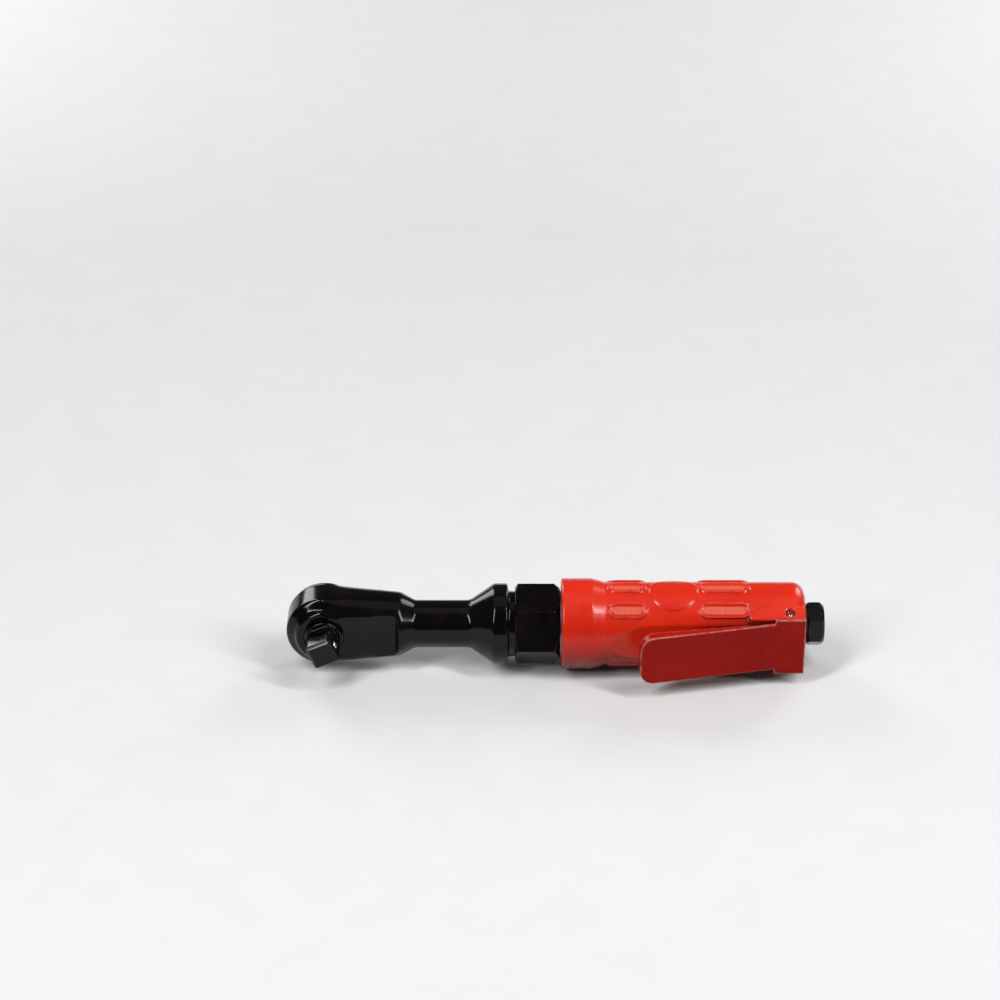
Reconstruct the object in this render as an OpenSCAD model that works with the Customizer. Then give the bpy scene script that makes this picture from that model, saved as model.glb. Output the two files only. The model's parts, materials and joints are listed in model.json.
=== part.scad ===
// Air ratchet wrench: an air motor drives a rocking yoke that indexes a square drive.
// The tool lies along X with its head at -X. The square drive and the lever point to -Y.
// The origin is the centre of the square drive's shoulder, where a socket seats.

/* [Square drive] */
// Width across the flats of the square drive
drive_w = 12.7; // [9.5:0.1:13]
// Length of the square from its shoulder
drive_len = 14.5; // [12:0.5:18]
// Chamfer on the square's corners and end
drive_chamfer = 1.4; // [0.8:0.1:1.8]
// Turn of the square about its own axis at rest
drive_turn = 23; // [0:1:45]
// Radius of the ball that holds a socket
ball_r = 1.9; // [1.5:0.1:2.1]

/* [Head] */
// Radius of the ratchet ring's outside
yoke_r = 14; // [13.6:0.1:15]
// Thickness of the ratchet ring along the drive
yoke_h = 12; // [11:0.5:13]
// Wall of the head around the ring
head_wall = 3.7; // [3:0.1:5]
// Half height of the head's straight outer band
head_band = 7.2; // [6:0.1:8]
// Thickness of the head's front wall
front_wall = 6.5; // [5:0.5:8]
// Radius of the anvil's front journal
journal_r = 8.8; // [8.7:0.1:9.4]
// Number of teeth in the ratchet ring
ratchet_teeth = 60; // [48:12:72]
// Depth of the ratchet teeth
ratchet_depth = 0.9; // [0.7:0.1:1]
// Distance of the pawl's pin from the drive axis
pawl_pivot = 7; // [6.8:0.1:7.2]
// Swing of the pawl from neutral to engaged
pawl_swing = 10; // [9:1:11]
// Radius of the reverse knob
knob_r = 9; // [8:0.5:11]
// Height of the reverse knob above the cover
knob_h = 4; // [3:0.5:7]

/* [Neck and reduction] */
// Distance from the drive axis to the neck's front end
neck_x0 = 43; // [41:0.5:50]
// Length of the straight neck
neck_len = 26; // [24:0.5:40]
// Radius of the neck
neck_r = 11.3; // [10.8:0.1:13]
// Radius of the flange behind the neck
flange_r = 19.2; // [18:0.1:21]
// Throw of the crank pin
crank_throw = 1.2; // [1:0.1:1.4]
// Radius of the crankshaft's journal
crank_r = 6; // [5.5:0.1:6.5]
// Module of the reduction gears
gear_module = 0.65; // [0.62:0.01:0.66]
// Face width of the planet gears
planet_w = 8; // [6:0.5:8]

/* [Air motor] */
// Radius of the motor bore in both housings
motor_bore_r = 13.65; // [13.4:0.05:13.8]
// Radius of the rotor
rotor_r = 10.6; // [10:0.1:10.7]
// Length of the rotor between the end plates
rotor_len = 51; // [40:1:55]
// Offset of the cylinder bore from the rotor's axis
bore_offset = 0.9; // [0.7:0.1:1]
// Thickness of a vane
vane_t = 1.5; // [1.2:0.1:1.8]

/* [Handle] */
// Length of the clamp nut
nut_len = 21.3; // [18:0.1:24]
// Width across the flats of the clamp nut
nut_af = 34; // [33:0.5:38]
// Radius of the clamp thread on both housings
thread_r = 15.5; // [15.3:0.1:15.9]
// Radius of the motor housing inside the sleeve
body_r = 15.6; // [15.3:0.1:16]
// Length of the sleeve
sleeve_len = 115.5; // [112:0.5:130]
// Radius of the sleeve's grip
sleeve_r = 19.8; // [19.2:0.1:21]
// Height of the sleeve's front collar over the grip
collar_h = 1.8; // [1:0.1:3]
// Length of the raised pads near the front
pad_len_front = 18; // [14:1:20]
// Length of the raised pads near the rear
pad_len_rear = 24; // [18:1:26]
// Width of the raised pads
pad_w = 7.6; // [6:0.2:8.4]

/* [Throttle and inlet] */
// Angle at which the lever stands open at rest
lever_open = 12; // [10:0.5:14]
// Length of the lever from its bend to its tip
lever_len = 65.5; // [50:0.5:68]
// Half width of the lever
lever_half_w = 12.5; // [11:0.1:13]
// Thickness of the lever's sheet
lever_t = 1.6; // [1.2:0.1:2]
// Radius of the throttle valve's stem
stem_r = 2.4; // [2:0.1:3]
// Width across the flats of the inlet's hexagon
inlet_af = 19; // [17:0.5:22]
// Length of the inlet's hexagon
inlet_len = 8; // [6:0.5:12]
// Radius of the inlet thread's wall
inlet_r = 5.7; // [5.4:0.1:6]

/* [Clearances] */
// Clearance around turning shafts
run_gap = 0.05; // [0.03:0.01:0.08]
// Clearance between moving bodies
free_gap = 0.3; // [0.25:0.05:0.4]
// Clearance between fixed pieces
seat_gap = 0.05; // [0.03:0.01:0.08]

/* [Hidden] */
$fn = 64;
face_gap = 0.1;

// Distances along the drive, from the tool's axis to the front and to the back
front_y = yoke_h / 2 + free_gap + front_wall;
collar_out = 1.4;
shoulder = front_y + collar_out;
washer_t = 0.6;
cover_t = 2.2;
ring_t = 0.8;
lip_t = 0.5;
washer_y = yoke_h / 2 + face_gap;
cover_y = washer_y + washer_t + seat_gap;
ring_y = cover_y + cover_t + seat_gap;
back_y = ring_y + ring_t + lip_t;

// Radii in the head
yoke_bore_r = yoke_r + free_gap;
head_r = yoke_bore_r + head_wall;
boss_r = journal_r + 4.4;
cover_r = yoke_bore_r + 0.9;
ring_groove_r = cover_r + 0.5;
back_r = ring_groove_r + 0.9;
bush_t = 2;
front_lip = 1.6;
rear_journal_r = 6;
tooth_root_r = yoke_r - 1.8;
tooth_tip_r = tooth_root_r - ratchet_depth;
anvil_body_r = tooth_tip_r - 2 * free_gap;

// Pawl and selector
tooth_pitch = 360 / ratchet_teeth;
pawl_h = yoke_h - 3;
pawl_pin_r = 1.5;
pawl_hub_r = 2.6;
pawl_end_angle = 48;
pawl_pocket_x = -3.4;
pawl_relief_x = -1.6;
pawl_relief_z = 3.6;
pawl_arm_r = 10;
pawl_stop = 0.1;
selector_r = 2.6;
plunger_r = 0.9;
plunger_tip = 4.2;
plunger_back = 0.6;
plunger_slot = 2.8;
plunger_bottom = 1.2;
selector_front = 2.5;
ball_out = 0.7;
ball_y = 8.5;

// Yoke fork and the crank that rocks it
fork_x = 27;
fork_t = 2.4;
drive_bush_r = 2.5;
crank_pin_r = 1.6;
rock_angle = atan(crank_throw / (fork_x - 5));
fork_gap = drive_bush_r + fork_x * sin(rock_angle) + crank_throw + free_gap;
fork_half = fork_gap + fork_t;
pocket_z = fork_half * cos(rock_angle) + fork_x * sin(rock_angle) + free_gap;
pocket_x = norm([fork_x, fork_half]) + free_gap;
pocket_rim = 1.2;
cover_end = pocket_x + 5.6;
screw_r = 1.25;
screw_head_r = 2.1;
screw_len = 6;
screw_z = crank_r + screw_r + 1.2;
cover_cut = 2;
cover_half = max(pocket_z + pocket_rim, screw_z + screw_head_r + 0.5);

// Stations along the tool, from the drive axis to the inlet
neck_x1 = neck_x0 + neck_len;
cone_len = 11.4;
flange_x1 = neck_x1 + cone_len + 6.7;
groove_w = 3.3;
nut_x0 = flange_x1 + groove_w;
nut_x1 = nut_x0 + nut_len;
split_x = nut_x0 + nut_len / 2;
sleeve_x0 = nut_x1 + 0.6;
sleeve_x1 = sleeve_x0 + sleeve_len;

// Crankshaft stations and its bearings
crank_x0 = pocket_x + free_gap;
crank_pin_x0 = fork_x - 8;
bearing_t = 2;
bearing_r = crank_r + bearing_t;
bearing_len = 12;
bearing_x0 = cover_end + 1.2;
carrier_t = 3;
carrier_x = neck_x1 + 3;
carrier_front = carrier_x - 0.4;

// Reduction gears: rotor pinion, three planets and a fixed ring
pinion_z = 12;
planet_z = 12;
ring_z = pinion_z + 2 * planet_z;
pressure = 20;
stub = 0.8;
root = 1;
backlash = 0.06;
planet_orbit = gear_module * (pinion_z + planet_z) / 2;
planet_pin_r = 1.5;
carrier_r = planet_orbit + 2.2;
gear_x = carrier_x + carrier_t + free_gap;
ring_x = gear_x - 0.2;
ring_len = planet_w + 0.6;
ring_r = motor_bore_r - seat_gap;

// Air motor stations and radii
plate_t = 7;
front_plate_x = ring_x + ring_len + seat_gap;
liner_x = front_plate_x + plate_t + seat_gap;
end_play = 0.2;
rotor_x = liner_x + end_play;
liner_len = rotor_len + 2 * end_play;
rear_plate_x = liner_x + liner_len + seat_gap;
liner_r = motor_bore_r - seat_gap;
tight_gap = 0.1;
liner_bore_r = rotor_r + bore_offset + tight_gap;
shaft_r = 5;
tail_r = 4;
race_t = 3.4;
race_len = 5;
vane_h = 4.6;
vane_tip_r = rotor_r - 0.3;
vane_gap = 0.05;
vane_angles = [45, 135, 225, 315];
bulkhead_x = rear_plate_x + plate_t + seat_gap;

// Handle, lever and valve
sleeve_bore_r = body_r + 0.1;
nut_bore_r = thread_r + 0.1;
flat_y = sleeve_bore_r + 1.6;
rear_wall = 4;
body_x1 = sleeve_x1 - rear_wall - seat_gap;
rear_fillet = 6;
pivot_x = sleeve_x1 - 8;
pivot_y = sleeve_r - 4.8;
lever_pin_r = 1.5;
ear_in = 10.8;
ear_out = sleeve_r - 6.3;
ear_y0 = 11.3;
ear_y1 = sleeve_r - 1.6;
ear_len = 26;
ear_tilt = 27;
pin_z = ear_out + (ear_y1 - pivot_y) * tan(ear_tilt);
pin_recess = 1.1;
pin_end = 0.6;
web_y = ear_y1 + 1.3;
bend_x = pivot_x - 7;
lever_back = sleeve_x1 - 1;
lever_rear_half = lever_half_w + 2.3;
lever_corner = 7;
rim_deep = 3.6;
rim_tip = 2.4;
rim_shallow = 0.8;
lug_t = 1.7;
lug_gap = 0.3;
lug_room = 5.5;
stem_x = pivot_x - 24;
web_rise = (bend_x - stem_x) * tan(lever_open);
stem_tip = web_y + web_rise - stem_r * tan(lever_open) - 0.3;
valve_head_r = stem_r + 2;
valve_head_t = 2.5;
valve_bush_r = stem_r + 3.2;
chamber_r = valve_head_r + 0.6;
seat_y = 9;
spring_wire = 0.7;
spring_end = -6;
chamber_end = spring_end - 0.1;
shank_r = inlet_r + 2.2;
shank_len = 14;
seal_t = 1.2;
hex_x = sleeve_x1 + seal_t + 2 * seat_gap;
inlet_depth = 14;
inlet_bore_r = inlet_r - 1.2;

// Air passages behind the motor: supply from the valve, exhaust out of the sleeve's rear end
supply_y = 11.5;
supply_r = 2.2;
exhaust_y = 12;
exhaust_r = 1.8;
exhaust_angles = [50, 90, 130];
outlet_r = 1.4;

// Colours
black_steel = [0.06, 0.06, 0.07];
bright_steel = [0.7, 0.7, 0.72];
dark_steel = [0.35, 0.35, 0.37];
bronze = [0.72, 0.52, 0.26];
red_paint = [0.8, 0.13, 0.05];
cast_alloy = [0.62, 0.63, 0.65];
black_rubber = [0.05, 0.05, 0.05];
vane_brown = [0.35, 0.2, 0.1];

// Frames: the origin sits at the drive's shoulder, and each piece is drawn about its own axis
module from_datum() {
    translate([0, shoulder, 0]) children();
}

// Local +z runs towards the square drive, and local x, y are the tool's x, z
module about_drive() {
    from_datum() rotate([90, 0, 0]) children();
}

// Local +z runs along the tool towards the inlet
module about_axis(x = 0) {
    from_datum() translate([x, 0, 0]) rotate([0, 90, 0]) children();
}

// Local +z points out of the lever's side of the tool, at station x
module about_lever(x) {
    from_datum() translate([x, 0, 0]) rotate([90, 0, 0]) children();
}

// A ring or tube along local z
module tube(r_out, r_in, len) {
    difference() {
        cylinder(r = r_out, h = len);
        translate([0, 0, -1]) cylinder(r = r_in, h = len + 2);
    }
}

// A rounded slot outline centred on the origin
module stadium(len, width) {
    square([len - width, width], center = true);
    for (side = [-1, 1]) translate([side * (len - width) / 2, 0]) circle(d = width);
}

// Points of an arc of radius r that rounds corner b between a and c
function arc(a, b, c, r, n = 5) =
    let (u = (a - b) / norm(a - b), v = (c - b) / norm(c - b), half = acos(u * v) / 2,
        mid = b + (u + v) / norm(u + v) * r / sin(half), p = b + u * r / tan(half) - mid,
        q = b + v * r / tan(half) - mid)
    [for (i = [0 : n]) let (d = p * (n - i) + q * i) mid + r * d / norm(d)];

// A hexagon outline by its width across the flats
module hexagon(af) {
    circle(d = af / cos(30), $fn = 6);
}

// Round wire wound into an open helix with a given rise
module coil(r, wire, rise, turns) {
    sides = 6;
    rings = 12;
    n = turns * rings;
    points = [for (i = [0 : n], j = [0 : sides - 1])
        let (a = 360 * i / rings, b = 360 * j / sides, q = r + wire / 2 * cos(b))
        [q * cos(a), q * sin(a), wire / 2 + rise * i / n + wire / 2 * sin(b)]];
    skin = [for (i = [0 : n - 1], j = [0 : sides - 1])
        let (k = (j + 1) % sides, p = i * sides, q = p + sides)
        each [[p + j, q + j, q + k], [p + j, q + k, p + k]]];
    first = [for (j = [1 : sides - 2]) [0, j, j + 1]];
    last = [for (j = [1 : sides - 2]) [n * sides, n * sides + j + 1, n * sides + j]];
    polyhedron(points, concat(skin, first, last));
}

// Involute gear outline. Addendum and dedendum are in modules, play thins each flank.
function involute(a) = tan(a) * 180 / PI - a;
function flank_angle(z, r, play) =
    let (pitch_r = gear_module * z / 2, base_r = pitch_r * cos(pressure))
    90 / z - play / pitch_r * 180 / PI + involute(pressure) - involute(acos(min(1, base_r / r)));
function gear_points(z, addendum, dedendum, play) =
    let (pitch_r = gear_module * z / 2, r0 = pitch_r - dedendum * gear_module,
        r1 = pitch_r + addendum * gear_module, n = 4,
        radii = [for (i = [0 : n]) r0 + (r1 - r0) * i / n],
        wide = [for (r = radii) flank_angle(z, r, play)])
    [for (t = [0 : z - 1]) let (mid = 360 * t / z) each concat(
        [for (i = [0 : n]) radii[i] * [cos(mid - wide[i]), sin(mid - wide[i])]],
        [for (i = [n : -1 : 0]) radii[i] * [cos(mid + wide[i]), sin(mid + wide[i])]])];
module gear(z, addendum, dedendum, play) {
    polygon(gear_points(z, addendum, dedendum, play));
}

// Head pieces

// Outline of the head turned about the drive axis
module head_round() {
    rotate_extrude() polygon([[0, front_y], [boss_r - 0.8, front_y], [boss_r, front_y - 0.8],
        [boss_r + 1, front_y - 2.6], [head_r - 1, head_band + 1], [head_r, head_band],
        [head_r, 1 - head_band], [head_r - 0.5, -head_band], [back_r, -back_y], [0, -back_y]]);
}

// Tapered body, neck, cone, flange and clamp thread turned about the tool's axis
module neck_round() {
    body_0 = [head_r, 7];
    body_1 = [neck_r + 3.9, neck_x0 - 7.1];
    neck_0 = [neck_r, neck_x0];
    neck_1 = [neck_r, neck_x1];
    cone_1 = [flange_r, neck_x1 + cone_len];
    rim = [flange_r, flange_x1 - 0.6];
    about_axis() rotate_extrude() polygon(concat([[0, 0], [head_r - 3, 0], body_0],
        arc(body_0, body_1, neck_0, 6), arc(body_1, neck_0, neck_1, 3), arc(neck_0, neck_1, cone_1, 5),
        arc(neck_1, cone_1, rim, 2.5), [rim, [flange_r - 0.6, flange_x1], [thread_r, flange_x1],
        [thread_r, split_x], [0, split_x]]));
}

// Outline in x and y of what is cut away for the flats in front of the body and behind it
module body_flats() {
    over = 2 * head_r;
    front_0 = front_y + 0.6;
    front_1 = front_y - 2.1;
    front_x = neck_x0 - 9.5;
    front_out = 2.5;
    back_x = neck_x0 - 7.5;
    back_out = 4.5;
    polygon([[0, -front_0], [front_x, -front_1], [front_x + front_out, -front_1 - 5],
        [front_x + front_out, -over], [0, -over]]);
    polygon([[0, back_y], [back_x, back_y], [back_x + back_out, back_y + 2.4],
        [back_x + back_out, over], [0, over]]);
}

module neck_body() {
    difference() {
        neck_round();
        from_datum() linear_extrude(4 * head_r, center = true) body_flats();
    }
}

// Keyhole outline of the opening behind the ring and its fork, with cut corners
module keyhole(r, x, half, cut = 0.5) {
    circle(r = r);
    polygon([[0, -half], [x - cut, -half], [x, cut - half], [x, half - cut],
        [x - cut, half], [0, half]]);
}

module screw_places() {
    for (side = [-1, 1]) translate([cover_end - 2.8, side * screw_z, -cover_y - cover_t]) children();
}

module ratchet_housing() {
    color(black_steel) difference() {
        union() {
            about_drive() head_round();
            neck_body();
        }
        about_drive() {
            translate([0, 0, -cover_y]) linear_extrude(cover_y + yoke_h / 2 + free_gap)
                keyhole(yoke_bore_r, pocket_x, pocket_z);
            translate([0, 0, -back_y - 1]) linear_extrude(back_y + 1 - cover_y)
                keyhole(cover_r + seat_gap, cover_end + seat_gap, cover_half + seat_gap, cover_cut);
            translate([0, 0, -ring_y - ring_t - seat_gap])
                cylinder(r = ring_groove_r, h = ring_t + 2 * seat_gap);
            cylinder(r = journal_r + bush_t + seat_gap / 2, h = front_y - front_lip);
            cylinder(r = journal_r + free_gap, h = front_y + 1);
            screw_places() cylinder(r = screw_r + seat_gap / 2, h = screw_len + cover_t);
        }
        about_axis() {
            cylinder(r = crank_r + 2 * free_gap, h = carrier_x);
            translate([0, 0, bearing_x0])
                cylinder(r = bearing_r + seat_gap / 2, h = carrier_x - bearing_x0);
            translate([0, 0, carrier_front]) cylinder(r = carrier_r + free_gap, h = carrier_t + 1);
            translate([0, 0, ring_x - seat_gap]) cylinder(r = motor_bore_r, h = split_x);
        }
    }
}

module head_cover() {
    color(black_steel) about_drive() difference() {
        translate([0, 0, -cover_y - cover_t]) linear_extrude(cover_t)
            keyhole(cover_r, cover_end, cover_half, cover_cut);
        translate([0, 0, -2 * back_y]) cylinder(r = rear_journal_r + run_gap, h = 2 * back_y);
        screw_places() {
            translate([0, 0, -1]) cylinder(r = screw_r + seat_gap / 2, h = cover_t + 2);
            translate([0, 0, -1]) cylinder(r = screw_head_r + seat_gap, h = 2.3);
        }
    }
}

module cover_ring() {
    gap_half = asin((cover_half + 1) / cover_r);
    spread = [for (a = [-gap_half : gap_half / 2 : gap_half]) 2 * head_r * [cos(a), sin(a)]];
    color(dark_steel) about_drive() translate([0, 0, -ring_y - ring_t]) difference() {
        tube(ring_groove_r - seat_gap, cover_r - 1.2, ring_t);
        translate([0, 0, -1]) linear_extrude(ring_t + 2) polygon(concat([[0, 0]], spread));
    }
}

module cover_screws() {
    head_t = 1.2;
    color(dark_steel) about_drive() screw_places() {
        difference() {
            union() {
                cylinder(r = screw_head_r, h = head_t);
                cylinder(r = screw_r, h = screw_len + cover_t - 0.5);
            }
            translate([0, 0, -1]) linear_extrude(1.7) hexagon(2);
        }
    }
}

module anvil_bush() {
    color(dark_steel) about_drive() translate([0, 0, yoke_h / 2 + free_gap + seat_gap])
        tube(journal_r + bush_t, journal_r + run_gap, front_wall - front_lip - 2 * seat_gap);
}

module thrust_washer() {
    color(bronze) about_drive() translate([0, 0, -washer_y - washer_t])
        tube(yoke_r, rear_journal_r + free_gap, washer_t);
}

module ratchet_yoke() {
    teeth = [for (k = [0 : ratchet_teeth - 1]) each [
        tooth_tip_r * [cos(k * tooth_pitch), sin(k * tooth_pitch)],
        tooth_root_r * [cos((k + 0.5) * tooth_pitch), sin((k + 0.5) * tooth_pitch)]]];
    color(bright_steel) about_drive() linear_extrude(yoke_h, center = true) difference() {
        keyhole(yoke_r, fork_x, fork_half);
        polygon(teeth);
        translate([crank_pin_x0 - 1.6, -fork_gap]) square([fork_x, 2 * fork_gap]);
    }
}

// Square with chamfered corners and end, standing on local z = 0
module drive_square() {
    half = drive_w / 2;
    c = drive_chamfer;
    base = -2;
    side = [[-half, base], [half, base], [half, drive_len - c], [half - c, drive_len],
        [c - half, drive_len], [-half, drive_len - c]];
    intersection() {
        translate([0, 0, base]) linear_extrude(drive_len - base) polygon([for (q = [0 : 3])
            each [rot2([half, c - half], 90 * q), rot2([half, half - c], 90 * q)]]);
        rotate([90, 0, 0]) linear_extrude(2 * drive_w, center = true) polygon(side);
        rotate([90, 0, 90]) linear_extrude(2 * drive_w, center = true) polygon(side);
    }
}
function rot2(p, a) = [p[0] * cos(a) - p[1] * sin(a), p[0] * sin(a) + p[1] * cos(a)];

// Place of the socket ball: local +z points out of the square's side
module ball_place() {
    translate([0, 0, shoulder + ball_y]) rotate([0, 0, drive_turn]) rotate([0, 90, 0]) children();
}
ball_centre = drive_w / 2 + ball_out - ball_r;
ball_bottom = 1.5;

module ratchet_anvil() {
    pocket_h = pawl_h + 0.4;
    color(black_steel) about_drive() difference() {
        union() {
            rotate_extrude() polygon([[0, -cover_y - cover_t], [rear_journal_r, -cover_y - cover_t],
                [rear_journal_r, -yoke_h / 2], [anvil_body_r, -yoke_h / 2], [anvil_body_r, yoke_h / 2],
                [journal_r, yoke_h / 2], [journal_r, shoulder - 0.5], [journal_r - 0.5, shoulder],
                [0, shoulder]]);
            translate([0, 0, shoulder]) rotate([0, 0, drive_turn]) drive_square();
        }
        translate([-2 * yoke_r + pawl_pocket_x, -yoke_r, -pocket_h / 2])
            cube([2 * yoke_r, 2 * yoke_r, pocket_h]);
        for (side = [0, 1]) mirror([0, side, 0])
            translate([-2 * yoke_r + pawl_relief_x, pawl_relief_z, -pocket_h / 2])
                cube([2 * yoke_r, yoke_r, pocket_h]);
        translate([-pawl_pivot, 0, -yoke_h]) cylinder(r = pawl_pin_r + seat_gap / 2, h = 2 * yoke_h);
        translate([0, 0, -2 * back_y])
            cylinder(r = selector_r + run_gap, h = 2 * back_y + selector_front + free_gap);
        translate([-2 * selector_r, -pawl_relief_z, -plunger_slot / 2])
            cube([2 * selector_r, 2 * pawl_relief_z, plunger_slot]);
        ball_place() translate([0, 0, ball_bottom]) cylinder(r = ball_r + run_gap, h = drive_w);
    }
}

// A point at an angle from the pawl's side of the drive axis
function polar(r, a) = [-r * cos(a), r * sin(a)];

// A point turned about the pawl's pivot by the full swing
function swung(p) = let (x = p[0] + pawl_pivot) [
    x * cos(pawl_swing) + p[1] * sin(pawl_swing) - pawl_pivot,
    p[1] * cos(pawl_swing) - x * sin(pawl_swing)];

// The edge of one arm with its two teeth, as it stands at full swing, just short of the ring
function pawl_arm() = let (
        tip = tooth_tip_r - pawl_stop,
        root = pawl_arm_r - 0.2,
        first = floor(pawl_end_angle / tooth_pitch),
        end_a = (first + 1) * tooth_pitch,
        edge = [polar(pawl_arm_r, 18), polar(pawl_arm_r, 30), polar(root, end_a - 2 * tooth_pitch),
            polar(tip, end_a - 1.5 * tooth_pitch), polar(root, end_a - tooth_pitch),
            polar(tip, end_a - 0.5 * tooth_pitch), polar(root, end_a), polar(pawl_arm_r - 1.2, end_a),
            polar(pawl_arm_r - 2.2, 30)])
    [for (p = edge) swung(p)];

module pawl() {
    arm = pawl_arm();
    last = len(arm) - 1;
    other = [for (k = [0 : last]) [arm[last - k][0], -arm[last - k][1]]];
    color(bright_steel) about_drive() difference() {
        union() {
            translate([-pawl_pivot, 0, -pawl_h / 2]) cylinder(r = pawl_hub_r, h = pawl_h);
            translate([0, 0, -pawl_h / 2]) linear_extrude(pawl_h)
                polygon(concat([[-pawl_pivot - 2.3, 0]], arm, [[-pawl_pivot + 2.2, 0]], other));
        }
        translate([-pawl_pivot, 0, -pawl_h]) cylinder(r = pawl_pin_r + run_gap, h = 2 * pawl_h);
    }
}

module pawl_pin() {
    color(dark_steel) about_drive() translate([-pawl_pivot, 0, -yoke_h / 2])
        cylinder(r = pawl_pin_r, h = yoke_h);
}

// Local +z points from the selector's axis towards the pawl
module towards_pawl() {
    about_drive() rotate([0, -90, 0]) children();
}

module pawl_plunger() {
    color(bright_steel) towards_pawl() translate([0, 0, plunger_back]) {
        cylinder(r = plunger_r, h = plunger_tip - plunger_back - plunger_r);
        translate([0, 0, plunger_tip - plunger_back - plunger_r]) sphere(r = plunger_r);
    }
}

module plunger_spring() {
    wire = 0.3;
    color(dark_steel) towards_pawl() translate([0, 0, seat_gap - plunger_bottom])
        coil(plunger_r - wire, wire, plunger_back + plunger_bottom - wire - 2 * seat_gap, 4);
}

module reverse_knob() {
    top = back_y + free_gap;
    bar_w = 4.4;
    notches = 12;
    notch_r = 1.6;
    notch_in = 0.5;
    color(black_steel) about_drive() difference() {
        union() {
            rotate_extrude() polygon([[0, selector_front], [selector_r, selector_front],
                [selector_r, -top], [knob_r, -top], [knob_r, -top - knob_h / 2],
                [knob_r - 1, -top - knob_h / 2 - 1], [0, -top - knob_h / 2 - 1]]);
            translate([0, 0, -top - knob_h]) linear_extrude(knob_h) stadium(2 * knob_r - 3, bar_w);
        }
        rotate([0, -90, 0]) translate([0, 0, -plunger_bottom])
            cylinder(r = plunger_r + run_gap, h = 2 * selector_r);
        for (k = [0 : notches - 1]) rotate(360 * (k + 0.5) / notches)
            translate([knob_r + notch_r - notch_in, 0, -top - knob_h])
                cylinder(r = notch_r, h = knob_h + 1);
    }
}

module detent_ball() {
    color(bright_steel) about_drive() ball_place() translate([0, 0, ball_centre]) sphere(r = ball_r);
}

module detent_spring() {
    wire = 0.4;
    color(dark_steel) about_drive() ball_place() translate([0, 0, ball_bottom + seat_gap])
        coil(ball_r - 2 * wire, wire, ball_centre - ball_r - ball_bottom - wire - 2 * seat_gap, 2);
}

// Neck and reduction pieces

module at_crank_pin() {
    about_axis() translate([0, crank_throw, crank_pin_x0]) children();
}

module at_planets() {
    for (k = [0 : 2]) rotate(120 * k) translate([planet_orbit, 0, 0]) children();
}

module drive_bush() {
    color(bronze) at_crank_pin() translate([0, 0, free_gap])
        tube(drive_bush_r, crank_pin_r + run_gap, fork_x - crank_pin_x0 - 2 * free_gap);
}

module crankshaft() {
    color(dark_steel) union() {
        at_crank_pin() cylinder(r = crank_pin_r, h = crank_x0 - crank_pin_x0 + 1);
        about_axis() difference() {
            union() {
                translate([0, 0, crank_x0]) cylinder(r = crank_r, h = carrier_x - crank_x0);
                translate([0, 0, carrier_x]) cylinder(r = carrier_r, h = carrier_t);
            }
            translate([0, 0, carrier_x - 1]) at_planets()
                cylinder(r = planet_pin_r + seat_gap / 2, h = carrier_t + 2);
        }
    }
}

module crank_bearing(x) {
    color(bright_steel) about_axis(x) tube(bearing_r, crank_r + run_gap, bearing_len);
}

module front_bearing() {
    crank_bearing(bearing_x0 + seat_gap);
}

module rear_bearing() {
    crank_bearing(carrier_front - bearing_len - seat_gap);
}

module planet_pins() {
    color(bright_steel) about_axis(carrier_x) at_planets()
        cylinder(r = planet_pin_r, h = carrier_t + free_gap + planet_w);
}

module planet_gear(k) {
    color(dark_steel) about_axis(gear_x) rotate(120 * k) translate([planet_orbit, 0, 0])
        linear_extrude(planet_w) difference() {
            rotate(180 / planet_z) gear(planet_z, stub, root, backlash);
            circle(r = planet_pin_r + run_gap);
        }
}

module ring_gear() {
    color(dark_steel) about_axis(ring_x) linear_extrude(ring_len) difference() {
        circle(r = ring_r);
        rotate(180 / ring_z) gear(ring_z, root, stub, -backlash);
    }
}

// Air motor pieces

module end_plate(x, bore, race) {
    color(cast_alloy) about_axis(x) difference() {
        cylinder(r = ring_r, h = plate_t);
        translate([0, 0, -1]) cylinder(r = bore + free_gap, h = plate_t + 2);
        translate([0, 0, plate_t - race_len]) cylinder(r = race + seat_gap / 2, h = race_len + 1);
    }
}

module rotor_bearing(x, bore, race) {
    color(bright_steel) about_axis(x + plate_t - race_len + seat_gap)
        tube(race, bore + run_gap, race_len - 2 * seat_gap);
}

module front_end_plate() {
    end_plate(front_plate_x, shaft_r, shaft_r + race_t);
}

module front_rotor_bearing() {
    rotor_bearing(front_plate_x, shaft_r, shaft_r + race_t);
}

module rear_end_plate() {
    end_plate(rear_plate_x, tail_r, tail_r + race_t);
}

module rear_rotor_bearing() {
    rotor_bearing(rear_plate_x, tail_r, tail_r + race_t);
}

module rotor() {
    shaft_x = gear_x + planet_w + free_gap;
    slot_w = vane_t + 2 * vane_gap;
    slot_bottom = vane_tip_r - vane_h - 0.1;
    color(dark_steel) union() {
        about_axis(gear_x) linear_extrude(shaft_x - gear_x + 1) gear(pinion_z, stub, root, backlash);
        about_axis(shaft_x) cylinder(r = shaft_r, h = rotor_x - shaft_x);
        about_axis(rotor_x) difference() {
            cylinder(r = rotor_r, h = rotor_len);
            for (a = vane_angles) rotate(a)
                translate([slot_bottom, -slot_w / 2, -1]) cube([rotor_r, slot_w, rotor_len + 2]);
        }
        about_axis(rotor_x + rotor_len) cylinder(r = tail_r, h = plate_t - free_gap);
    }
}

module vane(k) {
    color(vane_brown) about_axis(rotor_x + 0.1) rotate(vane_angles[k])
        translate([vane_tip_r - vane_h, -vane_t / 2, 0]) cube([vane_h, vane_t, rotor_len - 0.2]);
}

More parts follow.
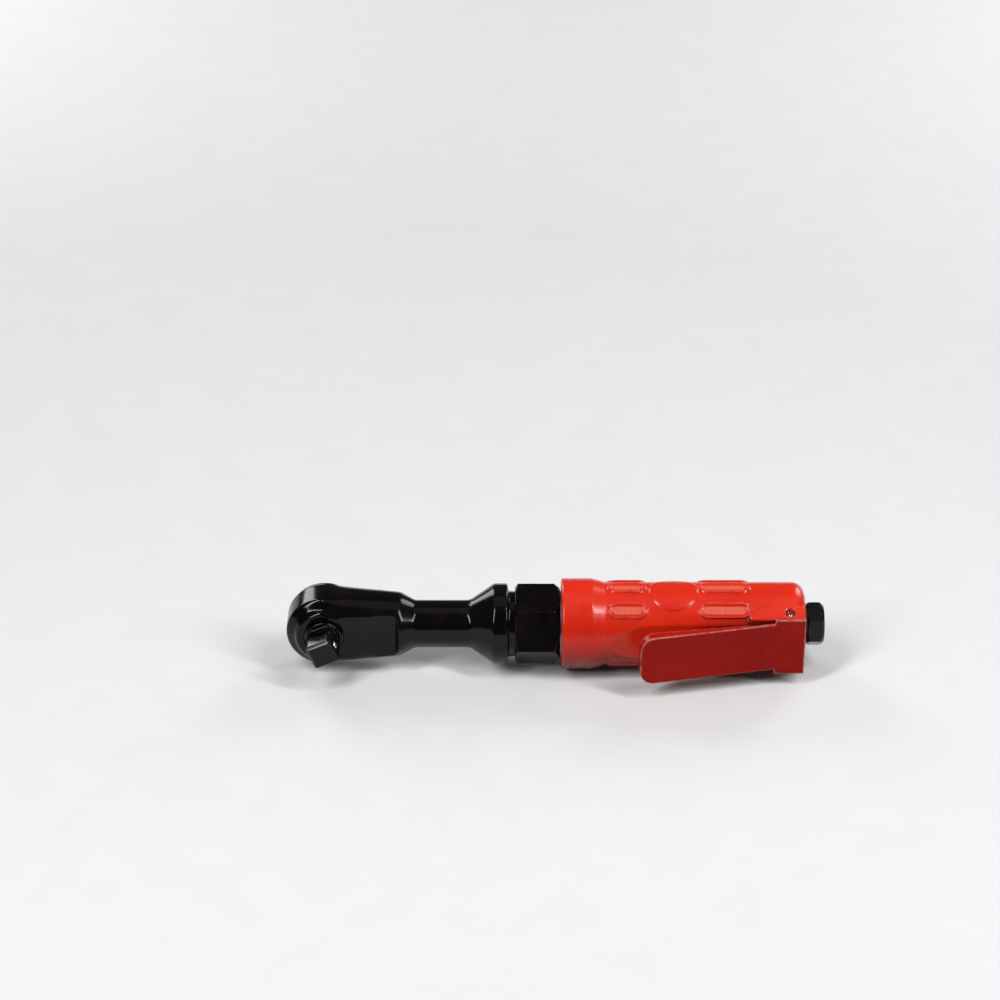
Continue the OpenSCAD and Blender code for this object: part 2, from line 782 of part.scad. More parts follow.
module cylinder_liner() {
    port_r = 1.6;
    ports = 4;
    color(bright_steel) about_axis(liner_x) difference() {
        cylinder(r = liner_r, h = liner_len);
        translate([bore_offset, 0, -1]) cylinder(r = liner_bore_r, h = liner_len + 2);
        for (k = [1 : ports]) translate([0, 0, liner_len * k / (ports + 1)])
            rotate([0, 90, 0]) cylinder(r = port_r, h = 2 * liner_r);
    }
}

// Handle pieces

module clamp_nut() {
    corner_r = nut_af / 2 / cos(30);
    flat_r = nut_af / 2 + 0.3;
    nut_turn = 42;
    color(black_steel) about_axis(nut_x0) difference() {
        intersection() {
            rotate(nut_turn) linear_extrude(nut_len) hexagon(nut_af);
            rotate_extrude() polygon([[0, 0], [flat_r, 0], [corner_r + 0.1, 1.4],
                [corner_r + 0.1, nut_len - 3], [flat_r - 0.4, nut_len], [0, nut_len]]);
        }
        translate([0, 0, -1]) cylinder(r = nut_bore_r, h = nut_len + 2);
    }
}

module motor_housing() {
    color(cast_alloy) difference() {
        about_axis() rotate_extrude() polygon([[0, split_x + seat_gap], [thread_r, split_x + seat_gap],
            [thread_r, nut_x1], [body_r, nut_x1], [body_r, body_x1], [0, body_x1]]);
        about_axis() {
            cylinder(r = motor_bore_r, h = bulkhead_x);
            translate([0, 0, body_x1 - shank_len])
                cylinder(r = shank_r + seat_gap / 2, h = shank_len + 1);
            translate([0, 0, stem_x]) cylinder(r = inlet_bore_r, h = body_x1 - stem_x);
            translate([0, -supply_y, bulkhead_x - 1])
                cylinder(r = supply_r, h = stem_x - bulkhead_x - 1);
            for (a = exhaust_angles) rotate(a) translate([exhaust_y, 0, bulkhead_x - 1])
                cylinder(r = exhaust_r, h = body_x1 - bulkhead_x + 2);
        }
        about_lever(stem_x) {
            translate([0, 0, chamber_end]) cylinder(r = chamber_r, h = body_r - chamber_end);
            translate([0, 0, seat_y]) cylinder(r = valve_bush_r + seat_gap, h = body_r);
        }
        about_lever(pivot_x) translate([-lug_room - 3, -sleeve_r, ear_y0 - free_gap])
            cube([sleeve_len, 2 * sleeve_r, sleeve_r]);
    }
}

// Place on the grip's surface at an angle up from the lever's side: local +z points outwards
module on_grip(angle, x) {
    about_axis(x) rotate(270 - angle) translate([sleeve_r, 0, 0]) rotate([0, 90, 0]) children();
}

module grip_pads(grow, low, high) {
    mid = [sleeve_x0 + 31, sleeve_x0 + 77];
    long = [pad_len_front, pad_len_rear];
    for (k = [0, 1], side = [-1, 1], angle = [50, 90, 130]) on_grip(side * angle, mid[k])
        translate([0, 0, low]) linear_extrude(high - low) stadium(long[k] + grow, pad_w + grow);
}

// Bare round badge that follows the grip's curve
module badge() {
    badge_r = 11.3;
    badge_out = 0.5;
    badge_angle = 84;
    intersection() {
        on_grip(badge_angle, sleeve_x0 + 53) translate([0, 0, -6]) cylinder(r = badge_r, h = 12);
        about_axis(sleeve_x0) cylinder(r = sleeve_r + badge_out, h = sleeve_len);
    }
}

// Outlines in x and in distance to the lever's side, stood at a height on both sides of the tool
module both_sides(z) {
    from_datum() for (side = [0, 1]) mirror([0, 0, side]) translate([0, 0, z])
        mirror([0, 1, 0]) children();
}

// Local z runs along the lever's pin
module at_pivot() {
    from_datum() translate([pivot_x, -pivot_y, 0]) children();
}

// Side outline of an ear, with a round nose
module ear_outline() {
    front = sleeve_x1 - ear_len;
    round = 9;
    nose = 1.5;
    nose_y = ear_y1 - 1.5;
    curve = [for (t = [0 : 15 : 90])
        [front - nose + (round + nose) * (1 - cos(t)), nose_y - (nose_y - ear_y0) * sin(t)]];
    polygon(concat([[front, ear_y1]], curve, [[sleeve_x1 - 1, ear_y0], [sleeve_x1 - 1, ear_y1]]));
}

// Pair of ears. Their outer faces slant inwards to the lever.
module ears() {
    foot = ear_out + (ear_y1 - ear_y0) * tan(ear_tilt);
    intersection() {
        both_sides(ear_in) linear_extrude(sleeve_r) ear_outline();
        from_datum() translate([sleeve_x0, 0, 0]) rotate([90, 0, 90]) linear_extrude(sleeve_len)
            polygon([[-ear_y0, -foot], [-ear_y1, -ear_out], [-ear_y1, ear_out], [-ear_y0, foot]]);
    }
}

// Outline of what is cut away for the flat under the lever, with a long round at its start
module grip_flat() {
    ramp_0 = [sleeve_x0 + 16, -sleeve_r - 1.2];
    ramp_1 = [sleeve_x0 + 37, -flat_y];
    end = [sleeve_x1 + 1, -flat_y];
    over = 2 * sleeve_r;
    polygon(concat([[sleeve_x0 + 15, -over], ramp_0], arc(ramp_0, ramp_1, end, 110, 8),
        [end, [sleeve_x1 + 1, -over]]));
}

module sleeve_round() {
    collar_r = sleeve_r + collar_h;
    fillet = [for (t = [0 : 10 : 90])
        [sleeve_r - rear_fillet * (1 - cos(t)), sleeve_x1 - rear_fillet * (1 - sin(t))]];
    about_axis() rotate_extrude() polygon(concat([[0, sleeve_x0], [collar_r - 0.8, sleeve_x0],
        [collar_r, sleeve_x0 + 0.8], [collar_r, sleeve_x0 + 14.5], [sleeve_r, sleeve_x0 + 21]],
        fillet, [[0, sleeve_x1]]));
}

module handle_sleeve() {
    color(red_paint) difference() {
        union() {
            difference() {
                union() {
                    sleeve_round();
                    grip_pads(0, -1, 0.6);
                    badge();
                }
                grip_pads(-2.6, 0.1, 2);
                from_datum() linear_extrude(4 * sleeve_r, center = true) grip_flat();
                about_axis(sleeve_x0 - 1) cylinder(r = sleeve_bore_r, h = sleeve_len - rear_wall + 1);
                about_axis() cylinder(r = shank_r + 0.3, h = sleeve_x1 + 1);
            }
            ears();
        }
        about_lever(stem_x) cylinder(r = stem_r + free_gap, h = 2 * sleeve_r);
        about_lever(pivot_x) translate([-lug_room, -ear_in, ear_y0 - free_gap])
            cube([2 * lug_room - 1.5, 2 * ear_in, sleeve_r]);
        at_pivot() {
            cylinder(r = lever_pin_r + seat_gap / 2, h = 4 * sleeve_r, center = true);
            for (side = [0, 1]) mirror([0, 0, side]) translate([0, 0, pin_z - pin_recess])
                cylinder(r = lever_pin_r + 0.8, h = sleeve_r);
        }
        for (a = exhaust_angles) about_axis(sleeve_x1 - rear_wall - 1) rotate(a)
            translate([exhaust_y, 0, 0]) cylinder(r = outlet_r, h = rear_wall + 2);
    }
}

// Throttle and inlet pieces

// Outline of the lever's pressing in front of its bend, with a rounded tip
module lever_blade(inset = 0) {
    half = lever_half_w - inset;
    tip = inset - lever_len;
    corner = lever_corner - inset;
    polygon([[0, -half], [0, half], [tip + corner, half], [tip, half - corner],
        [tip, corner - half], [tip + corner, -half]]);
    for (side = [-1, 1]) translate([tip + corner, side * (half - corner)]) circle(r = corner);
}

// Outline from the side of what the rim leaves open. It ends in front of the ears.
module under_rim() {
    back = sleeve_x1 - ear_len - bend_x - 2;
    deepest = 8 - lever_len;
    over = 2 * rim_deep;
    polygon([[-lever_len - 1, -rim_tip], [deepest, -rim_deep], [back, -rim_shallow], [back, 0],
        [1, 0], [1, -over], [-lever_len - 1, -over]]);
}

// Pressed blade: a flat web with a rim that runs round its sides and tip
module lever_pressing() {
    difference() {
        translate([0, 0, -rim_deep]) linear_extrude(rim_deep + lever_t) lever_blade();
        translate([0, 0, -2 * rim_deep]) linear_extrude(2 * rim_deep) lever_blade(lever_t);
        rotate([90, 0, 0]) linear_extrude(4 * lever_half_w, center = true) under_rim();
    }
}

module throttle_lever() {
    lug_r = 3.2;
    lug_out = ear_in - lug_gap;
    color(red_paint) difference() {
        union() {
            about_lever(bend_x) translate([0, 0, web_y]) rotate([0, lever_open, 0]) lever_pressing();
            about_lever(bend_x) translate([-0.3, -lever_rear_half, web_y])
                cube([lever_back - bend_x + 0.3, 2 * lever_rear_half, lever_t]);
            both_sides(lug_out - lug_t) linear_extrude(lug_t) {
                translate([pivot_x, pivot_y]) circle(r = lug_r);
                translate([pivot_x - lug_r, pivot_y])
                    square([2 * lug_r, web_y + lever_t / 2 - pivot_y]);
            }
        }
        at_pivot() cylinder(r = lever_pin_r + run_gap, h = 4 * sleeve_r, center = true);
    }
}

module lever_pin() {
    color(bright_steel) at_pivot() cylinder(r = lever_pin_r, h = 2 * (pin_z - pin_end), center = true);
}

module throttle_valve() {
    head_top = seat_y - face_gap;
    color(bright_steel) about_lever(stem_x) rotate_extrude() polygon([[0, head_top - valve_head_t],
        [valve_head_r, head_top - valve_head_t], [valve_head_r, head_top], [stem_r, head_top],
        [stem_r, stem_tip - 0.6], [stem_r - 0.8, stem_tip], [0, stem_tip]]);
}

module valve_bush() {
    bush_top = sqrt(body_r * body_r - valve_bush_r * valve_bush_r);
    color(bronze) about_lever(stem_x) translate([0, 0, seat_y])
        tube(valve_bush_r, stem_r + run_gap, bush_top - seat_y);
}

module valve_spring() {
    spring_top = seat_y - face_gap - valve_head_t - face_gap;
    color(dark_steel) about_lever(stem_x) translate([0, 0, spring_end])
        coil(valve_head_r - spring_wire - 0.3, spring_wire, spring_top - spring_end - spring_wire, 6);
}

module inlet_bushing() {
    corner_r = inlet_af / 2 / cos(30);
    flat_r = inlet_af / 2 + 0.2;
    shank_x = body_x1 - shank_len + free_gap;
    hex_turn = 50;
    color(black_steel) difference() {
        union() {
            about_axis(shank_x) cylinder(r = shank_r, h = hex_x - shank_x + 1);
            about_axis(hex_x) intersection() {
                rotate(hex_turn) linear_extrude(inlet_len) hexagon(inlet_af);
                rotate_extrude() polygon([[0, 0], [flat_r, 0], [corner_r + 0.1, 0.9],
                    [corner_r + 0.1, inlet_len - 2.2], [flat_r - 1, inlet_len], [0, inlet_len]]);
            }
        }
        about_axis(hex_x + inlet_len - inlet_depth) cylinder(r = inlet_r, h = inlet_depth + 1);
        about_axis(shank_x - 1) cylinder(r = inlet_bore_r, h = shank_len + inlet_len);
    }
}

module inlet_seal() {
    color(black_rubber) about_axis(sleeve_x1 + seat_gap)
        tube(shank_r + 1.2, shank_r + seat_gap, seal_t);
}

module inlet_screen() {
    screen_t = 0.8;
    hole_r = 0.8;
    hole_orbit = 2.6;
    color(bright_steel) about_axis(hex_x + inlet_len - inlet_depth - screen_t - seat_gap) difference() {
        cylinder(r = inlet_bore_r - seat_gap / 2, h = screen_t);
        for (k = [0 : 6]) rotate(60 * k) translate([k == 6 ? 0 : hole_orbit, 0, -1])
            cylinder(r = hole_r, h = screen_t + 2);
    }
}

ratchet_housing();
head_cover();
cover_ring();
cover_screws();
anvil_bush();
thrust_washer();
ratchet_yoke();
ratchet_anvil();
pawl();
pawl_pin();
pawl_plunger();
plunger_spring();
reverse_knob();
detent_ball();
detent_spring();
drive_bush();
crankshaft();
front_bearing();
rear_bearing();
planet_pins();
planet_gear(0);  // planet_gear_a
planet_gear(1);  // planet_gear_b
planet_gear(2);  // planet_gear_c
ring_gear();
front_end_plate();
front_rotor_bearing();
rotor();
vane(0);  // vane_a
vane(1);  // vane_b
vane(2);  // vane_c
vane(3);  // vane_d
cylinder_liner();
rear_end_plate();
rear_rotor_bearing();
clamp_nut();
motor_housing();
handle_sleeve();
throttle_lever();
lever_pin();
throttle_valve();
valve_bush();
valve_spring();
inlet_bushing();
inlet_seal();
inlet_screen();
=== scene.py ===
"""Looks of an air ratchet wrench: materials, fine edges, floor, light and camera."""

import json
import math

import bpy
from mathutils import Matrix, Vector


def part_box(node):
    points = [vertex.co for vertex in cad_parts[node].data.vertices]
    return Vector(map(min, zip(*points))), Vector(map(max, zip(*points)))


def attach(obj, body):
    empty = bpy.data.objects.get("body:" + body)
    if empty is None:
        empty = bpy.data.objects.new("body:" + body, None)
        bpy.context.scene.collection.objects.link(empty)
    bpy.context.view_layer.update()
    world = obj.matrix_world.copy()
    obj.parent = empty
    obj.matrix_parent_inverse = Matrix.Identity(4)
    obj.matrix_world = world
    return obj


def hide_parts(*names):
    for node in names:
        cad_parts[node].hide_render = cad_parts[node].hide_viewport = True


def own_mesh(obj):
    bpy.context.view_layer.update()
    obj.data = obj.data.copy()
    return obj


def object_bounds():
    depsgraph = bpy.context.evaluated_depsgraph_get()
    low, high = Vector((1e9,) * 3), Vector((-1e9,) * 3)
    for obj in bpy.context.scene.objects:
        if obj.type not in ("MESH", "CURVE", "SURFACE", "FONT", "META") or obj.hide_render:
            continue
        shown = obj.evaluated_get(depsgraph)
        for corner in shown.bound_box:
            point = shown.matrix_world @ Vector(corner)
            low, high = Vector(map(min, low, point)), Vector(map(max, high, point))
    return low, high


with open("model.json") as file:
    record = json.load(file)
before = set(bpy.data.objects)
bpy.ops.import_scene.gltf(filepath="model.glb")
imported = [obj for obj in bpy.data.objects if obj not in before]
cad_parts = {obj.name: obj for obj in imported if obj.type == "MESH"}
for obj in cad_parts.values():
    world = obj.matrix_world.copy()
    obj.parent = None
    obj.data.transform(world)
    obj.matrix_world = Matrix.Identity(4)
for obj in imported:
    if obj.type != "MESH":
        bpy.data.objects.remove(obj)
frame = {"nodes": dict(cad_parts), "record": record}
nodes = frame["nodes"]
cad_low, cad_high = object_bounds()

MM = 0.001
TURN = 2 * math.pi
AXIS_Y = 14.2 * MM


class Tree:
    """Node tree with short calls that add nodes and feed their sockets."""

    def __init__(self, tree):
        self.tree = tree

    def feed(self, socket, value):
        if isinstance(value, bpy.types.NodeSocket):
            self.tree.links.new(value, socket)
        else:
            socket.default_value = value

    def fill(self, node, **sockets):
        for name, value in sockets.items():
            self.feed(node.inputs[name.replace("_", " ")], value)
        return node

    def add(self, kind, **sockets):
        return self.fill(self.tree.nodes.new(kind), **sockets)

    def math(self, operation, a, b=0.0):
        made = self.add("ShaderNodeMath")
        made.operation = operation
        self.feed(made.inputs[0], a)
        self.feed(made.inputs[1], b)
        return made.outputs["Value"]

    def product(self, first, *others):
        for other in others:
            first = self.math("MULTIPLY", first, other)
        return first


class Shader(Tree):
    """Procedural material with a principled surface and object coordinates in metres."""

    def __init__(self, name):
        self.material = bpy.data.materials.new(name)
        self.material.use_nodes = True
        super().__init__(self.material.node_tree)
        self.surface = self.tree.nodes["Principled BSDF"]
        self.place = self.add("ShaderNodeTexCoord").outputs["Object"]

    def fix(self, **sockets):
        self.fill(self.surface, **sockets)

    def stretched(self, scale):
        return self.add("ShaderNodeMapping", Vector=self.place, Scale=scale).outputs["Vector"]

    def noise(self, scale, detail, roughness=0.55, vector=None):
        place = vector or self.place
        made = self.add("ShaderNodeTexNoise", Vector=place, Scale=scale, Detail=detail)
        return self.fill(made, Roughness=roughness).outputs["Fac"]

    def span(self, value, low=0.3, high=0.7, to_low=0.0, to_high=1.0):
        """Takes low to high, by default most of a noise's reach, to another span."""
        made = self.add("ShaderNodeMapRange", Value=value, From_Min=low, From_Max=high)
        return self.fill(made, To_Min=to_low, To_Max=to_high).outputs["Result"]

    def mix(self, factor, low, high):
        made = self.add("ShaderNodeMix")
        made.data_type = "RGBA"
        return self.fill(made, Factor=factor, A=low, B=high).outputs["Result"]

    def edges(self, radius, low, high):
        """Mask of the surface close to an edge."""
        rounded = self.add("ShaderNodeBevel", Radius=radius)
        rounded.samples = 4
        true = self.add("ShaderNodeNewGeometry").outputs["Normal"]
        dot = self.add("ShaderNodeVectorMath")
        dot.operation = "DOT_PRODUCT"
        self.feed(dot.inputs[0], rounded.outputs["Normal"])
        self.feed(dot.inputs[1], true)
        return self.span(dot.outputs["Value"], high, low)

    def hollows(self, distance, low, high):
        """Mask of the surface that lies in a gap or a deep corner."""
        near = self.add("ShaderNodeAmbientOcclusion", Distance=distance)
        near.samples = 8
        return self.span(near.outputs["AO"], high, low)

    def bump(self, height, strength, distance):
        made = self.add("ShaderNodeBump", Height=height, Strength=strength, Distance=distance)
        self.fix(Normal=made.outputs["Normal"])


def colour(r, g, b):
    return (r, g, b, 1.0)


def black_oxide():
    """Oiled black steel, rubbed a little paler along its edges."""
    deep = colour(0.0018, 0.0012, 0.0011)
    pale = colour(0.006, 0.0038, 0.0034)
    pale_edge = colour(0.075, 0.07, 0.066)
    s = Shader("black_oxide_steel")
    cloud = s.noise(scale=90.0, detail=5.0)
    grain = s.noise(scale=2600.0, detail=3.0)
    scuffs = s.span(s.noise(scale=420.0, detail=6.0), low=0.42, high=0.66)
    wear = s.product(s.edges(radius=0.8 * MM, low=0.86, high=0.99), scuffs)
    base = s.mix(s.span(cloud, low=0.35), deep, pale)
    s.fix(Base_Color=s.mix(wear, base, pale_edge), Specular_IOR_Level=0.26)
    s.fix(Roughness=s.span(cloud, high=0.75, to_low=0.09, to_high=0.17))
    relief = s.math("ADD", grain, s.product(cloud, 0.6))
    s.bump(relief, strength=0.1, distance=0.12 * MM)
    return s.material


def bare_steel(name, dark, light, rough, along):
    """Ground steel whose brush marks run along X."""
    s = Shader(name)
    brush = s.noise(scale=1.0, detail=4.0, roughness=0.6, vector=s.stretched(along))
    cloud = s.noise(scale=160.0, detail=4.0)
    s.fix(Base_Color=s.mix(s.span(cloud), dark, light), Metallic=1.0)
    s.fix(Roughness=s.span(brush, to_low=rough - 0.06, to_high=rough + 0.1))
    s.bump(brush, strength=0.12, distance=0.05 * MM)
    return s.material


def red_moulding(name, deep, bright, pale_edge, pale_edge_w, gloss, peel):
    """Red skin with pale edges, part rubbed paint and part painted highlight, and painted
    shade where it lies close under another piece.
    """
    shadowed = colour(0.14, 0.004, 0.002)
    s = Shader(name)
    cloud = s.noise(scale=38.0, detail=3.0)
    fine = s.noise(scale=900.0, detail=2.0)
    patches = s.noise(scale=210.0, detail=5.0)
    scuffs = s.span(s.noise(scale=260.0, detail=5.0), low=0.25, high=0.6)
    # Pale edge lines: partly rubbed paint, partly a painted highlight along the edges.
    rub = s.product(s.edges(pale_edge_w, low=0.84, high=0.985), scuffs)
    # Painted shade: the colour darkens where another piece lies close over the surface.
    painted_shade = s.hollows(distance=11 * MM, low=0.4, high=0.95)
    base = s.mix(s.span(cloud, high=0.72), deep, bright)
    s.fix(Base_Color=s.mix(rub, s.mix(painted_shade, base, shadowed), pale_edge))
    s.fix(Roughness=s.span(patches, high=0.75, to_low=0.2, to_high=0.34))
    s.fix(Coat_Weight=0.3 * gloss, Coat_Roughness=0.12, Specular_IOR_Level=gloss)
    s.bump(fine, strength=peel, distance=0.06 * MM)
    return s.material


def grip_texture():
    """Paler matt red of the textured inlays."""
    deep = colour(0.66, 0.07, 0.03)
    pale = colour(0.8, 0.13, 0.07)
    s = Shader("grip_texture")
    grain = s.noise(scale=1400.0, detail=4.0)
    s.fix(Base_Color=s.mix(s.span(grain), deep, pale), Specular_IOR_Level=0.4)
    s.fix(Roughness=s.span(grain, to_low=0.42, to_high=0.6))
    s.bump(grain, strength=0.25, distance=0.08 * MM)
    return s.material


def bronze():
    deep = colour(0.42, 0.25, 0.09)
    pale = colour(0.66, 0.44, 0.19)
    s = Shader("bronze")
    cloud = s.noise(scale=220.0, detail=4.0)
    s.fix(Base_Color=s.mix(s.span(cloud), deep, pale), Metallic=1.0)
    s.fix(Roughness=s.span(cloud, to_low=0.28, to_high=0.44))
    s.bump(s.noise(scale=1800.0, detail=3.0), strength=0.1, distance=0.05 * MM)
    return s.material


def cast_alloy():
    deep = colour(0.42, 0.43, 0.45)
    pale = colour(0.6, 0.61, 0.63)
    s = Shader("cast_alloy")
    grain = s.noise(scale=700.0, detail=5.0)
    s.fix(Base_Color=s.mix(s.span(grain), deep, pale), Metallic=1.0)
    s.fix(Roughness=s.span(grain, to_low=0.4, to_high=0.58))
    s.bump(grain, strength=0.2, distance=0.12 * MM)
    return s.material


def vane_resin():
    """Brown laminate with fibres along X."""
    deep = colour(0.1, 0.045, 0.02)
    pale = colour(0.2, 0.1, 0.05)
    fibres = (300.0, 2400.0, 2400.0)
    s = Shader("vane_resin")
    weave = s.noise(scale=1.0, detail=3.0, roughness=0.5, vector=s.stretched(fibres))
    s.fix(Base_Color=s.mix(s.span(weave), deep, pale))
    s.fix(Roughness=s.span(weave, to_low=0.5, to_high=0.68))
    s.bump(weave, strength=0.15, distance=0.05 * MM)
    return s.material


def black_rubber():
    deep = colour(0.012, 0.012, 0.012)
    pale = colour(0.03, 0.029, 0.028)
    s = Shader("black_rubber")
    grain = s.noise(scale=1500.0, detail=4.0)
    s.fix(Base_Color=s.mix(grain, deep, pale))
    s.fix(Roughness=s.span(grain, to_low=0.6, to_high=0.8))
    s.bump(grain, strength=0.2, distance=0.06 * MM)
    return s.material


FINISH = {
    "black_steel": black_oxide(),
    "bright_steel": bare_steel(
        "bright_steel",
        dark=colour(0.5, 0.5, 0.52),
        light=colour(0.72, 0.72, 0.73),
        rough=0.26,
        along=(250.0, 1900.0, 1900.0),
    ),
    "dark_steel": bare_steel(
        "dark_steel",
        dark=colour(0.13, 0.13, 0.14),
        light=colour(0.26, 0.26, 0.27),
        rough=0.34,
        along=(250.0, 1700.0, 1700.0),
    ),
    "bronze": bronze(),
    "cast_alloy": cast_alloy(),
    "red_sleeve": red_moulding(
        "red_sleeve",
        deep=colour(0.68, 0.017, 0.004),
        bright=colour(0.8, 0.032, 0.009),
        pale_edge=colour(0.88, 0.3, 0.2),
        pale_edge_w=0.7 * MM,
        gloss=0.38,
        peel=0.1,
    ),
    # The lever's red is the sleeve's red, darkened as painted shade; its pale edge colour
    # paints a highlight line along the rim.
    "red_lever": red_moulding(
        "red_lever",
        deep=colour(0.36, 0.005, 0.002),
        bright=colour(0.48, 0.011, 0.004),
        pale_edge=colour(0.9, 0.62, 0.54),
        pale_edge_w=1.1 * MM,
        gloss=0.12,
        peel=0.06,
    ),
    "vane_resin": vane_resin(),
    "black_rubber": black_rubber(),
}


def dress(node, material):
    made = nodes[node]
    made.data.materials.clear()
    made.data.materials.append(material)


for part in frame["record"]["subparts"]:
    dress(part["node"], FINISH[part["material_slot"]])


class Shaper(Tree):
    """Modifier tree that takes a mesh at its start and hands it on at its end."""

    def __init__(self, name):
        super().__init__(bpy.data.node_groups.new(name, "GeometryNodeTree"))
        socket = self.tree.interface.new_socket
        for way in ("INPUT", "OUTPUT"):
            socket("Geometry", in_out=way, socket_type="NodeSocketGeometry")
        self.start = self.add("NodeGroupInput").outputs["Geometry"]

    def end(self, geometry):
        self.add("NodeGroupOutput", Geometry=geometry)
        return self.tree

    def ramp(self, value, low, high):
        """Smooth step from 0 at low to 1 at high."""
        made = self.add("ShaderNodeMapRange", Value=value, From_Min=low, From_Max=high)
        made.interpolation_type = "SMOOTHSTEP"
        return made.outputs["Result"]

    def reach(self, a, b):
        """Distance from the line where a and b are nothing."""
        squares = self.math("ADD", self.product(a, a), self.product(b, b))
        return self.math("SQRT", squares)


def smooth_by_angle(limit):
    """Shades faces smooth and keeps edges over a limit sharp."""
    t = Shaper("smooth_by_angle")
    over = t.add("FunctionNodeCompare")
    over.operation = "GREATER_THAN"
    angle = t.add("GeometryNodeInputMeshEdgeAngle").outputs["Unsigned Angle"]
    t.feed(over.inputs[0], angle)
    t.feed(over.inputs[1], limit)
    smooth = t.add("GeometryNodeSetShadeSmooth", Geometry=t.start).outputs["Geometry"]
    sharp = t.add("GeometryNodeSetShadeSmooth", Geometry=smooth, Shade_Smooth=False)
    sharp.domain = "EDGE"
    t.fill(sharp, Selection=over.outputs["Result"])
    return t.end(sharp.outputs["Geometry"])


def blended_head():
    """Runs the head's rim into the tapered body behind it, on the outside only."""
    passes = 140
    body_start = (-1 * MM, 4 * MM)
    body_end = (26 * MM, 17 * MM)
    face_y = (6.5 * MM, 4.5 * MM)
    face_r = (11.5 * MM, 13.0 * MM)
    rim_r = (15.0 * MM, 16.4 * MM)
    bore_r = (11.5 * MM, 13.0 * MM)
    cover_y = (24 * MM, 20 * MM)
    t = Shaper("blend")
    place = t.add("GeometryNodeInputPosition").outputs["Position"]
    parts = t.add("ShaderNodeSeparateXYZ", Vector=place).outputs
    x = parts["X"]
    y = parts["Y"]
    z = parts["Z"]
    off_drive = t.reach(x, z)
    off_axis = t.reach(t.math("SUBTRACT", y, AXIS_Y), z)
    face = t.product(t.ramp(y, *face_y), t.ramp(off_drive, *face_r))
    outside = t.math("MAXIMUM", face, t.ramp(off_drive, *rim_r))
    outside = t.product(outside, t.ramp(off_axis, *bore_r))
    along = t.product(t.ramp(x, *body_start), t.ramp(x, *body_end))
    weight = t.product(along, outside, t.ramp(y, *cover_y))
    blur = t.add("GeometryNodeBlurAttribute")
    blur.data_type = "FLOAT_VECTOR"
    t.fill(blur, Value=place, Iterations=passes, Weight=weight)
    moved = t.add("GeometryNodeSetPosition", Geometry=t.start)
    t.fill(moved, Position=blur.outputs["Value"])
    return t.end(moved.outputs["Geometry"])


SMOOTH = smooth_by_angle(math.radians(28))
BLENDED = {"ratchet_housing": blended_head()}
WELD_GAP = 0.002 * MM
FLAT_ANGLE = math.radians(0.2)
BEVEL_ANGLE = math.radians(32)
BEVELS = {
    "clamp_nut": 0.4 * MM,
    "inlet_bushing": 0.3 * MM,
    "ratchet_anvil": 0.3 * MM,
    "lever_pin": 0.4 * MM,
    "throttle_valve": 0.2 * MM,
}
# Grid of the even mesh, passes that rub it round, share of its faces that is kept.
MELTED = {
    "ratchet_housing": (0.42 * MM, 9, 0.3),
    "handle_sleeve": (0.4 * MM, 5, 0.3),
    "throttle_lever": (0.3 * MM, 4, 0.3),
    "head_cover": (0.25 * MM, 3, 0.25),
    "reverse_knob": (0.22 * MM, 4, 0.3),
}


def shade(made):
    made.modifiers.new("smooth", "NODES").node_group = SMOOTH


def soften(node):
    """Smooths a solid's curved faces and leaves its edges sharp."""
    made = nodes[node]
    made.modifiers.new("weld", "WELD").merge_threshold = WELD_GAP
    shade(made)


def bevel(node, width):
    """Rounds a solid's edges by a small width and smooths its curved faces."""
    made = nodes[node]
    made.modifiers.new("weld", "WELD").merge_threshold = WELD_GAP
    flat = made.modifiers.new("flat", "DECIMATE")
    flat.decimate_type = "DISSOLVE"
    flat.angle_limit = FLAT_ANGLE
    cut = made.modifiers.new("bevel", "BEVEL")
    cut.width = width
    cut.segments = 3
    cut.limit_method = "ANGLE"
    cut.angle_limit = BEVEL_ANGLE
    cut.use_clamp_overlap = False
    cut.miter_outer = "MITER_ARC"
    shade(made)
    made.modifiers.new("flush", "WEIGHTED_NORMAL").keep_sharp = True


def melt(node, grid, passes, keep):
    """Forged or moulded look: a fine even mesh whose edges and corners are rubbed round."""
    made = nodes[node]
    even = made.modifiers.new("even", "REMESH")
    even.mode = "VOXEL"
    even.voxel_size = grid
    rub = made.modifiers.new("rub", "SMOOTH")
    rub.factor = 0.5
    rub.iterations = passes
    if node in BLENDED:
        made.modifiers.new("blend", "NODES").node_group = BLENDED[node]
    made.modifiers.new("thin", "DECIMATE").ratio = keep
    shade(made)


for name in nodes:
    if name in MELTED:
        melt(name, *MELTED[name])
    elif name in BEVELS:
        bevel(name, BEVELS[name])
    else:
        soften(name)


def add_piece(name, verts, faces, material, body="body"):
    """Closed mesh that rides on a body."""
    mesh = bpy.data.meshes.new(name)
    mesh.from_pydata(verts, [], faces)
    mesh.materials.append(material)
    made = bpy.data.objects.new(name, mesh)
    bpy.context.scene.collection.objects.link(made)
    shade(made)
    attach(made, body)
    return made


SLEEVE_X0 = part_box("handle_sleeve")[0].x
GRIP_R = 19.8 * MM
PAD_LENGTHS = {SLEEVE_X0 + 31 * MM: 14.6 * MM, SLEEVE_X0 + 77 * MM: 20.6 * MM}
PAD_ANGLES = (-130, -90, -50, 50, 90, 130)
PAD_W = 4.4 * MM
PAD_STEP = 0.24 * MM
PAD_FLOOR = GRIP_R + 0.1 * MM
PAD_ROOT = GRIP_R - 0.5 * MM
PAD_FIT = 0.999
DOME_PITCH = 1.1 * MM
DOME_RISE = 0.16 * MM


def dome(u, v):
    """Height of the grip texture: a field of small domes."""
    wave = math.sin(math.pi * u / DOME_PITCH) * math.sin(math.pi * v / DOME_PITCH)
    return DOME_RISE * wave ** 2


